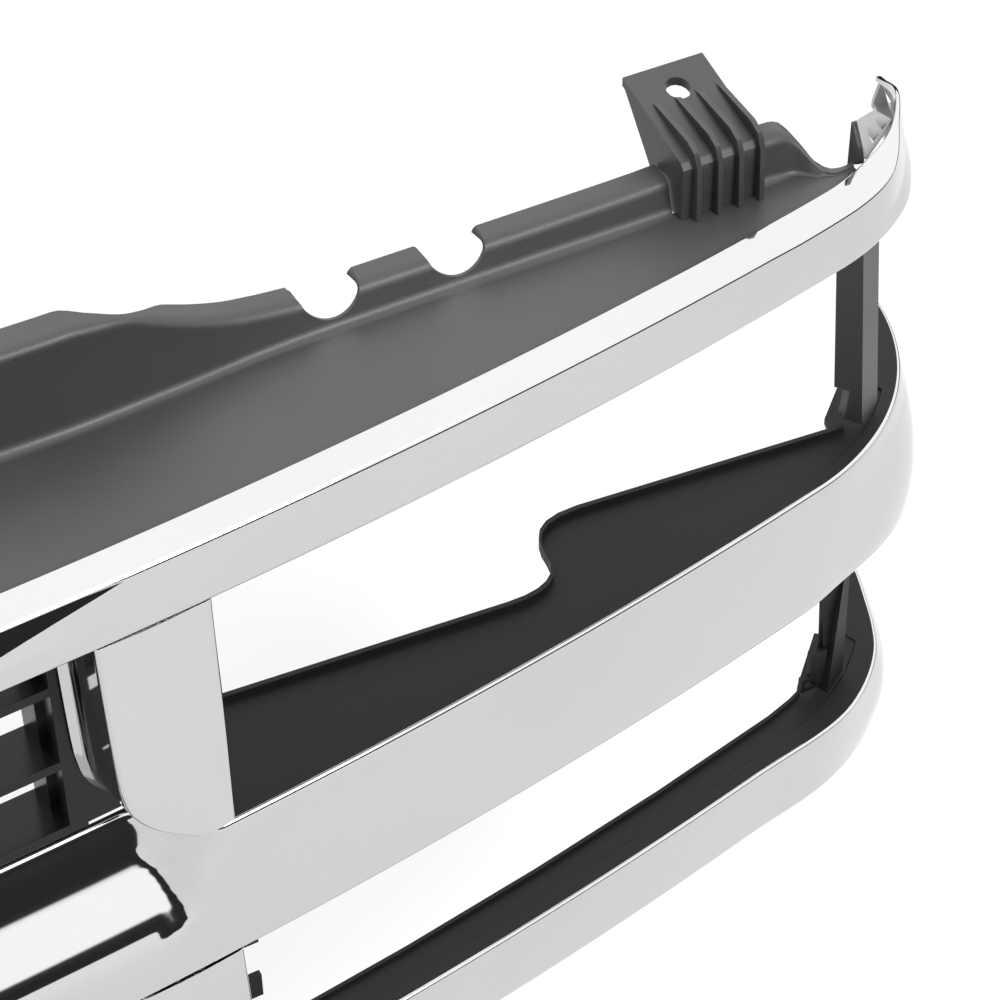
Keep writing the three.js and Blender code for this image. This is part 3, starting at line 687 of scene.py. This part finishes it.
# The middle bar, by the drop below its top edge: how far out its centre cove reaches, over what
# length the cove runs out there, and the depth of the face in the cove, beside it and at the corner.
COVE_REACH = ((0, 493), (2, 494), (16, 491), (28, 485), (46, 480), (58, 470), (120, 466))
COVE_RUN = ((0, 34), (16, 31), (28, 20), (46, 15), (58, 14), (120, 12))
COVE_DEPTH = (
    (0, 29.6), (1.5, 29), (8, 26.9), (15, 24.4), (22, 21.4), (29, 17.4), (36, 13.1), (43, 8.9), (48, 6.6),
    (53, 5.1), (57, 4.3), (62, 3.8), (70, 3.6), (84.3, 4.7), (86, 6.2)
)
SIDE_DEPTH = (
    (0, 0.3), (1.5, 0), (12, 0.5), (20, 0.9), (40, 1.9), (57, 2.9), (70, 3.5), (84.3, 4.7), (86, 6.2)
)
CORNER_DEPTH = (
    (0, -0.5), (1.5, -0.8), (12, -3.6), (20, -6), (40, -10.6), (57, -12.8), (70, -13.2),
    (84.3, -12), (86, -10.4)
)
FACE_TOP = 1.5
FACE_BOTTOM = 84.3
FACE_DROPS = (
    FACE_TOP, 4, 6, 8, 10, 12, 14, 16, 19, 22, 25, 29, 32, 36, 40, 43, 46, 49, 52, 55, 58, 62, 70, 78,
    FACE_BOTTOM
)


def middle_section(s):
    """The middle bar's face at one station: side, hollowed by the cove, swelling at the corner."""
    swell = smooth_step(abs(s), *SWELL_RUN)

    def depth(drop):
        side = along(SIDE_DEPTH, drop)
        reach, run = along(COVE_REACH, drop), along(COVE_RUN, drop)
        hollow = 1 - smooth_step(abs(s), reach - run, reach)
        cove, corner = along(COVE_DEPTH, drop), along(CORNER_DEPTH, drop)
        return side + (cove - side) * hollow + (corner - side) * swell

    top, bottom = depth(FACE_TOP), depth(FACE_BOTTOM)
    flange_end = max(top + 5.8, 7.3) + CORNER_FLANGE * smooth_step(abs(s), *CORNER_FLANGE_RUN)
    face = [(depth(drop), -drop, 1.2) for drop in FACE_DROPS]
    return rounded(
        [(flange_end, 0), (top + 0.9, 0, 0.9)]
        + face
        + [(bottom + 1.5, MIDDLE_BOTTOM, 1.2), (bottom + 9.3, MIDDLE_BOTTOM)],
        steps=3,
    )


def middle_bar():
    bar = shell("middle_bar_chrome", stations_to(MIDDLE_END), middle_section, place)
    line_flange(bar, 0, LINED_FROM)
    soften(bar)
    # The lining takes the shade-darkened black: painted shade.
    finished(bar, CHROME, "chrome", "middle_bar", lining=SHADE_DARKENED_BLACK)


def lower_section(s):
    """The lower bar at one station: black-lined flange, front lip, leaning face and foot."""
    top = along(LOWER_LIP, s)
    swell = smooth_step(abs(s), *SWELL_RUN)
    flange_end = max(top + 3.1, 6.1) + CORNER_FLANGE * smooth_step(abs(s), *CORNER_FLANGE_RUN)
    return rounded(
        [
            (flange_end, LOWER_TOP),
            (top + 0.9, LOWER_TOP, 0.9),
            (top, LOWER_TOP - 1.4, 0.9),
            (top + 1.2 - 7.5 * swell, -184, 6),
            (top + 2.5 - 11 * swell, -198, 6),
            (top + 3.6 - 10 * swell, -210, 4),
            (top + 4.2 - 8.6 * swell, LOWER_BOTTOM + 1.8, 1.4),
            (top + 5.8 - 8.6 * swell, LOWER_BOTTOM, 1.2),
            (top + 15 - 9 * swell, LOWER_BOTTOM),
        ]
    )


def lower_bar():
    bar = shell("lower_bar_chrome", stations_to(LOWER_END), lower_section, place)
    line_flange(bar, LOWER_TOP, LINED_FROM)
    soften(bar)
    # The lining takes the shade-darkened black: painted shade.
    finished(bar, CHROME, "chrome", "lower_bar", lining=SHADE_DARKENED_BLACK)


# ------------------------------------------------------------------ chrome posts

# The inner edge of the upper post, as (height, station): it flares towards its foot.
POST_INNER = (
    (0, 482), (3, 478), (8, 471.5), (16, 463), (25, 456.5), (33, 453.2), (48, 451), (122, 449.2)
)
LOWER_POST_INNER = 450.4
POST_BACK = 29.6
POST_RETURN = 14
POST_FLARE_START = 25.4
POST_FLARE_WIDTH = 5.4
LOWER_POST_FLARE_WIDTH = 5.2


def post_path(inner, front, flare):
    """Across a post at one height: outer return, front face, inner wall, as (station, depth)."""
    return rounded(
        [
            (POST_OUTER, POST_RETURN),
            (POST_OUTER, front + 0.5, 3.6),
            ((inner + POST_OUTER) / 2, front - 0.5, 14),
            (inner, front + 0.3, 2.6),
            (inner - 1.2, front + POST_FLARE_START, 2.4),
            (inner - flare, POST_BACK),
        ],
        steps=5,
    )


def post(name, node_name, side, heights, shape):
    paths = [shape(z) for z in heights]
    piece = net(
        name,
        len(heights) - 1,
        len(paths[0]) - 1,
        lambda i, j: place(side * paths[i][j][0], paths[i][j][1], heights[i]),
    )
    if side < 0:
        edit(piece, (bpy.ops.mesh.flip_normals, {}))
    thicken(piece, POST_WALL, -1)
    outward(piece)
    soften(piece)
    finished(piece, CHROME, "chrome", node_name)


def upper_post_shape(z):
    inner = along(POST_INNER, z)
    front = 0.1 + 1.6 * smooth_step(z, 40, 122)
    return post_path(inner, front, POST_FLARE_WIDTH)


def lower_post_shape(z):
    front = -2.2 + 7.4 * (z - LOWER_TOP) / (MIDDLE_BOTTOM - LOWER_TOP)
    return post_path(LOWER_POST_INNER, front, LOWER_POST_FLARE_WIDTH)


def posts():
    upper = [0.4 + 1.5 * k for k in range(24)] + [36 + 8.6 * k for k in range(11)]
    lower = [LOWER_TOP + 0.4 + 8.1 * k for k in range(11)]
    for side, word in SIDES:
        post("upper_post_chrome_" + word, "upper_post_" + word, side, upper, upper_post_shape)
        post("lower_post_chrome_" + word, "lower_post_" + word, side, lower, lower_post_shape)


# ------------------------------------------------------------------ black top panel

PANEL_END = 859

# The riser along the panel's back, by X: its top edge, its place, its flange and its foot's fillet.
RISER_TOP = (
    (0, 193), (484, 193), (495, 191.5), (508, 188.5), (520, 184), (540, 175), (556, 169.5),
    (575, 166), (600, 164), (740, 164.5), (790, 168), (812, 168.5), (818, 167), (822, 163),
    (826, 156), (830, 152), (836, 151), (847, 151)
)
RISER_Y = (
    (0, 111), (470, 111), (520, 114), (580, 118.3), (815, 118.3), (820, 117), (826, 111),
    (833, 105.5), (847, 106.8)
)
FLANGE = (
    (0, 15.8), (484, 15.8), (497, 9.5), (508, 5.4), (517, 7), (530, 12), (818, 12), (824, 9), (830, 5),
    (836, 3), (847, 2.4)
)
FILLET = ((0, 5), (470, 5), (560, 4), (800, 4), (820, 2), (833, 0.5), (847, 0.4))
FULL_RISE = 12  # above this rise, the lean and the flange's pitch are at their full values


def panel_section(s):
    """The top panel at one station, from front to back: flat, fillet, riser and flange."""
    x, front, _ = panel_edge(s)
    riser, top = along(RISER_Y, x), along(RISER_TOP, x)
    fillet = min(along(FILLET, x), (top - PANEL_Z) * 0.6)
    risen = min((top - PANEL_Z) / FULL_RISE, 1)
    foot = max(riser - 3 * smooth_step(top, 151, 156), front + 0.6)
    return rounded(
        [
            (front, PANEL_Z),
            (foot, PANEL_Z, fillet),
            (riser + 1.5 * risen, top, min(4.5, (top - PANEL_Z) * 0.4)),
            (riser + along(FLANGE, x), top + risen),
        ],
        steps=6,
    )


def panel_edge(s):
    x, y, heading = front_point(s)
    return (
        x - PANEL_FRONT * math.sin(heading),
        y + PANEL_FRONT * math.cos(heading),
        heading,
    )


def notch(x):
    """A cutter for a notch in the riser: a round bottom with soft shoulders."""
    left = [(-21, 200), (-21, 169.5), (-18, 168.3), (-15.6, 166.6), (-14.3, 164.4)]
    angles = [math.radians(degrees) for degrees in range(198, 343, 9)]
    round_bottom = [
        (NOTCH_RADIUS * math.cos(a), NOTCH_RADIUS * math.sin(a) + NOTCH_CENTRE_Z) for a in angles
    ]
    right = [(-u, v) for u, v in reversed(left)]
    outline = left + round_bottom + right
    return prism(
        "notch_cutter", [in_frame(x + u, 100, v) for u, v in outline], Vector((0, 0.05, 0))
    )


def tab_seat(side):
    """A cutter for the gap in the riser that a mounting tab fills."""
    half = TAB_SEAT_HALF_WIDTH
    corners = ((-half, 150.2), (half, 150.2), (half, 200), (-half, 200))
    outline = [in_frame(side * TAB_X + u, 110, v) for u, v in corners]
    return prism("tab_seat_cutter", outline, Vector((0, 0.03, 0)))


def corner_wall(side, word):
    """The black side wall under the plated gusset, joined to the panel's end."""
    corners = (
        (850.4, 108.6, 148.6),
        (845.6, 110.9, 148.6),
        (845.6, 110.9, 170.8),
        (845.6, 110.1, 170.8),
        (850.4, 108.6, 152),
    )
    outline = [in_frame(side * x, y, z) for x, y, z in corners]
    return prism("corner_wall_" + word, outline, Vector((-side * 0.0024, 0, 0)))


def panel_stations():
    """Close together where the riser changes height, wide apart between."""
    half = [0.0]
    while half[-1] < PANEL_END:
        s = half[-1]
        step = 3.0 if 470 <= s < 560 or s > 790 else 12.0
        half.append(s + step)
    half[-1] = PANEL_END
    return mirrored(half)


def top_panel():
    def spot(s, y, z):
        return in_frame(panel_edge(s)[0], y, z)

    stations = panel_stations()
    panel = shell("top_panel_moulding", stations, panel_section, spot, wall=PANEL_WALL, behind=-1)
    tools = []
    for side, _ in SIDES:
        tools += [notch(side * x) for x in NOTCH_X]
        tools.append(tab_seat(side))
    cut_away(panel, *tools)
    for side, word in SIDES:
        join_all(panel, corner_wall(side, word))
    soften(panel, 34)
    finished(panel, SATIN_BLACK, "black_plastic", "top_panel")


# ------------------------------------------------------------------ stage


FLOOR_DROP = 0.30
FLOOR_CENTRE = (0.1, 0.15)
FLOOR_RADIUS = 1.9
FLOOR_STRETCH = 1.9  # wider along the bars, so that their wrapped ends see it too


def pale_floor():
    start_clean()
    middle = (*FLOOR_CENTRE, cad_low.z - FLOOR_DROP)
    bpy.ops.mesh.primitive_circle_add(
        vertices=96, radius=FLOOR_RADIUS, fill_type="NGON", location=middle
    )
    floor = bpy.context.object
    floor.name = "pale_floor"
    stretch = {"value": (FLOOR_STRETCH, 1, 1), "center_override": middle}
    edit(floor, (bpy.ops.transform.resize, stretch))
    material, tree, shader = new_finish("pale_floor_paint")
    shader.inputs["Roughness"].default_value = 0.9
    shader.inputs["Specular IOR Level"].default_value = 0.1
    soft = placed(tree, PATCHES, {"Patch Scale": 2.0, "Speck Scale": 60.0, "Speck Share": 0.2})
    colour = shade_between(tree, soft.outputs["Mix"], (0.90, 0.90, 0.90, 1), (0.92, 0.92, 0.92, 1))
    tree.links.new(colour, shader.inputs["Base Color"])
    floor.data.materials.append(material)


# Brightness of the surroundings from straight down (0) to straight up (1): dark below the
# horizon, which gives the chrome its dark bands, and white above it.
SKY_STOPS = ((0.0, 0.02), (0.47, 0.02), (0.52, 0.03), (0.56, 0.95), (1.0, 1.0))
GLOSS_STRENGTH = 1.8


def surroundings():
    """White behind the grille; in its reflections, a light sky over a dark horizon."""
    world = bpy.data.worlds.new("soft_studio")
    bpy.context.scene.world = world
    world.use_nodes = True
    tree = world.node_tree
    ground = tree.nodes["Background"]
    where = node(tree, "ShaderNodeTexCoord")
    split = node(tree, "ShaderNodeSeparateXYZ", {"Vector": where.outputs["Generated"]})
    height = node(
        tree, "ShaderNodeMapRange", {"Value": split.outputs["Z"], "From Min": -1.0, "From Max": 1.0}
    )
    band = node(tree, "ShaderNodeValToRGB", {"Fac": height.outputs[0]})
    ramp = band.color_ramp
    ramp.interpolation = "EASE"
    while len(ramp.elements) < len(SKY_STOPS):
        ramp.elements.new(0.5)
    for element, (position, level) in zip(ramp.elements, SKY_STOPS):
        element.position = position
        element.color = (level, level, level, 1)
    path = node(tree, "ShaderNodeLightPath")
    seen = node(
        tree,
        "ShaderNodeMix",
        {0: path.outputs["Is Camera Ray"], 6: band.outputs["Color"], 7: (1, 1, 1, 1)},
        data_type="RGBA",
    )
    tree.links.new(seen.outputs[2], ground.inputs["Color"])
    strength = node(
        tree, "ShaderNodeMix", {0: path.outputs["Is Glossy Ray"], 2: 1.0, 3: GLOSS_STRENGTH}
    )
    tree.links.new(strength.outputs[0], ground.inputs["Strength"])


def softbox(name, spot, size, energy):
    start_clean()
    bpy.ops.object.light_add(type="AREA", location=spot)
    lamp = bpy.context.object
    lamp.name = name
    lamp.data.size = size
    lamp.data.energy = energy
    return lamp


def lamps():
    overhead = softbox("overhead_softbox", (0.2, 0.9, 2.4), 3.0, 5)
    overhead.data.shape = "RECTANGLE"
    overhead.data.size_y = 1.6
    overhead.rotation_euler = (math.radians(-18), 0, 0)
    for name, spot, size, energy in (
        ("front_key_softbox", (1.3, -1.9, 1.7), 0.8, 34),
        ("left_fill_softbox", (-2.1, -0.2, 0.9), 1.2, 7),
    ):
        lamp = softbox(name, spot, size, energy)
        lamp.rotation_euler = (-Vector(spot)).to_track_quat("-Z", "Y").to_euler()


CAMERA_SPOT = (228.6, -684.9, 837.3)
CAMERA_RIGHT = Vector((0.87273, -0.48819, -0.00435))
CAMERA_UP = Vector((0.32693, 0.57777, 0.74786))
CAMERA_AIM = Vector((0.36258, 0.65410, -0.66384))


def camera():
    data = bpy.data.cameras.new("view_camera")
    data.sensor_width = 36
    data.lens = 99.45
    cam = bpy.data.objects.new("view_camera", data)
    bpy.context.scene.collection.objects.link(cam)
    turn = Matrix((CAMERA_RIGHT, CAMERA_UP, -CAMERA_AIM)).transposed().to_4x4()
    cam.matrix_world = Matrix.Translation(in_frame(*CAMERA_SPOT)) @ turn
    bpy.context.scene.camera = cam


# ------------------------------------------------------------------ the grille

camera()
pale_floor()
surroundings()
lamps()
bpy.context.scene.view_settings.view_transform = "Standard"

upper_bar()
middle_bar()
lower_bar()
posts()
top_panel()

for word in ("right", "left"):
    refined("wrap_gusset_" + word, 0.7, SATIN_PLATING, "chrome", 3)
    refined("mounting_tab_" + word, 0.6, SATIN_BLACK, "black_plastic", 3)
    # Floors, shelves, lower pillars and rails take the shade-darkened black: painted shade. The upper pillar
    # takes the plain satin black.
    refined("headlamp_floor_" + word, 0.8, SHADE_DARKENED_BLACK, "black_plastic", 3)
    refined("lamp_shelf_" + word, 0.7, SHADE_DARKENED_BLACK, "black_plastic", 3)
    refined("upper_pillar_" + word, 0.9, SATIN_BLACK, "black_plastic", 3)
    refined("lower_pillar_" + word, 0.8, SHADE_DARKENED_BLACK, "black_plastic", 3)
    refined("upper_rail_" + word, 0.6, SHADE_DARKENED_BLACK, "black_plastic")
    refined("lower_rail_" + word, 0.6, SHADE_DARKENED_BLACK, "black_plastic")
    for i in (1, 2, 3, 4):
        refined(f"insert_screw_{word}_{i}", 0.4, ZINC, "zinc_steel")
# The inserts take the shade-darkened slat black: painted shade.
refined("upper_insert", 0.7, SHADED_SLAT_BLACK, "insert_black")
refined("lower_insert", 0.7, SHADED_SLAT_BLACK, "insert_black")
refined("badge_blank", 1.2, CHROME, "chrome", 3)
refined("badge_nut_1", 0.4, ZINC, "zinc_steel")
refined("badge_nut_2", 0.4, ZINC, "zinc_steel")
